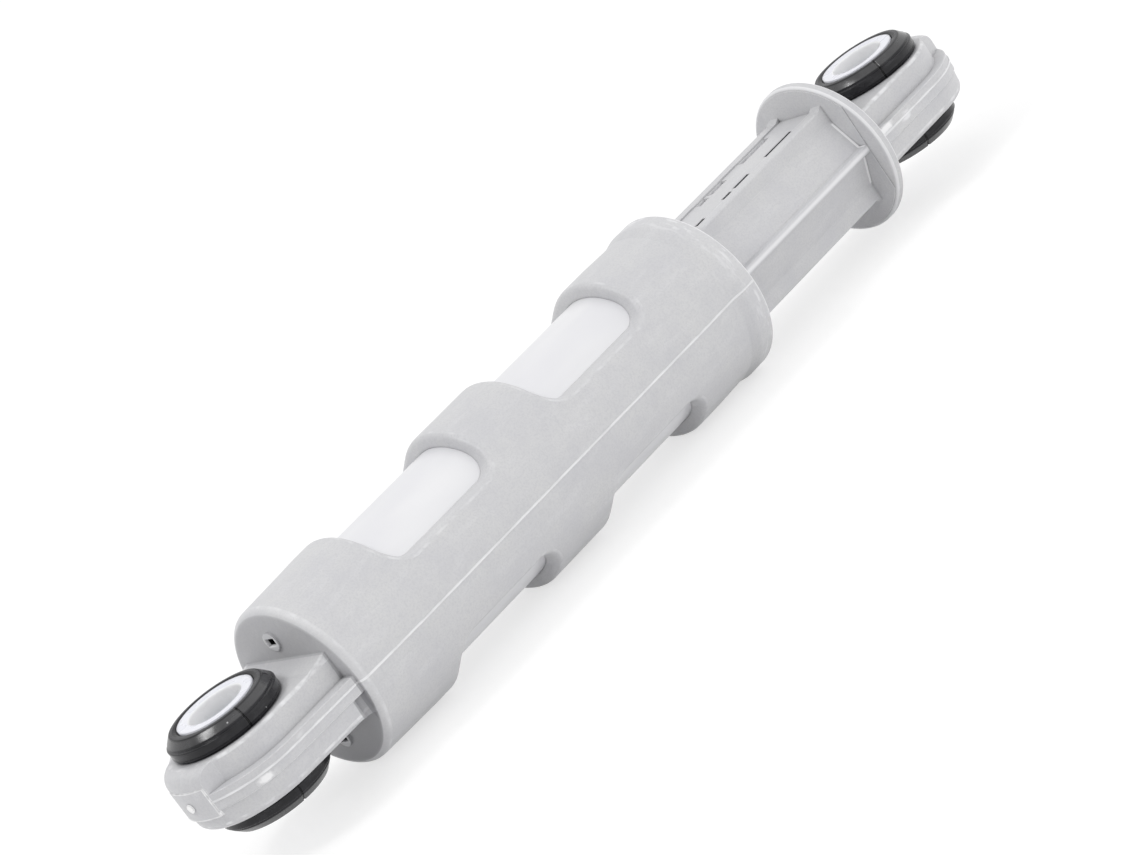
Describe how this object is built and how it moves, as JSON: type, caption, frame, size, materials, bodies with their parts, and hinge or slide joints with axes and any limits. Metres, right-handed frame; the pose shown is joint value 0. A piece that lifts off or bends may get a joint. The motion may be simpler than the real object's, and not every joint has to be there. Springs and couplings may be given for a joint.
{
  "type": "washing machine shock absorber",
  "caption": "Friction damper for a washing machine drum: a windowed tube housing and a ribbed plunger, each ending in an eye with a rubber bush.",
  "frame": {"origin": "middle of the housing eye's bore", "axes": "+X along the damper towards the plunger's eye, +Z along the bores of both eyes"},
  "size_m": [0.2579, 0.0412, 0.041],
  "materials": {
    "grey_plastic": "satin moulded",
    "white_tube": "smooth satin",
    "bush_plastic": "satin moulded",
    "foam_lining": "open-cell foam, greased",
    "black_rubber": "moulded, slight sheen",
    "sleeve_plastic": "smooth"
  },
  "bodies": {
    "housing_sleeve": {"housing_eye_sleeve": "sleeve_plastic"},
    "housing": {"housing": "grey_plastic", "liner_tube": "white_tube", "guide_bush": "bush_plastic", "housing_eye_rubber_bush": "black_rubber"},
    "linings": {"friction_lining_inner": "foam_lining", "friction_lining_outer": "foam_lining"},
    "plunger": {"plunger": "grey_plastic", "plunger_eye_rubber_bush": "black_rubber"},
    "plunger_sleeve": {"plunger_eye_sleeve": "sleeve_plastic"}
  },
  "joints": [
    {"name": "housing_eye_swing", "type": "hinge", "parent": "housing_sleeve", "child": "housing", "pos_m": [0, 0, 0], "axis": [0, 0, 1], "range_deg": [-20, 20], "stiffness_Nm_per_rad": 0.5},
    {"name": "plunger_slide", "type": "slide", "parent": "housing", "child": "linings", "axis": [1, 0, 0], "range_m": [-0.049, 0.037]},
    {"name": "plunger_turn", "type": "hinge", "parent": "linings", "child": "plunger", "pos_m": [0.09, 0, 0], "axis": [1, 0, 0], "continuous": true},
    {"name": "plunger_eye_swing", "type": "hinge", "parent": "plunger", "child": "plunger_sleeve", "pos_m": [0.2232, 0, 0], "axis": [0, 0, 1], "range_deg": [-20, 20], "stiffness_Nm_per_rad": 0.5}
  ]
}
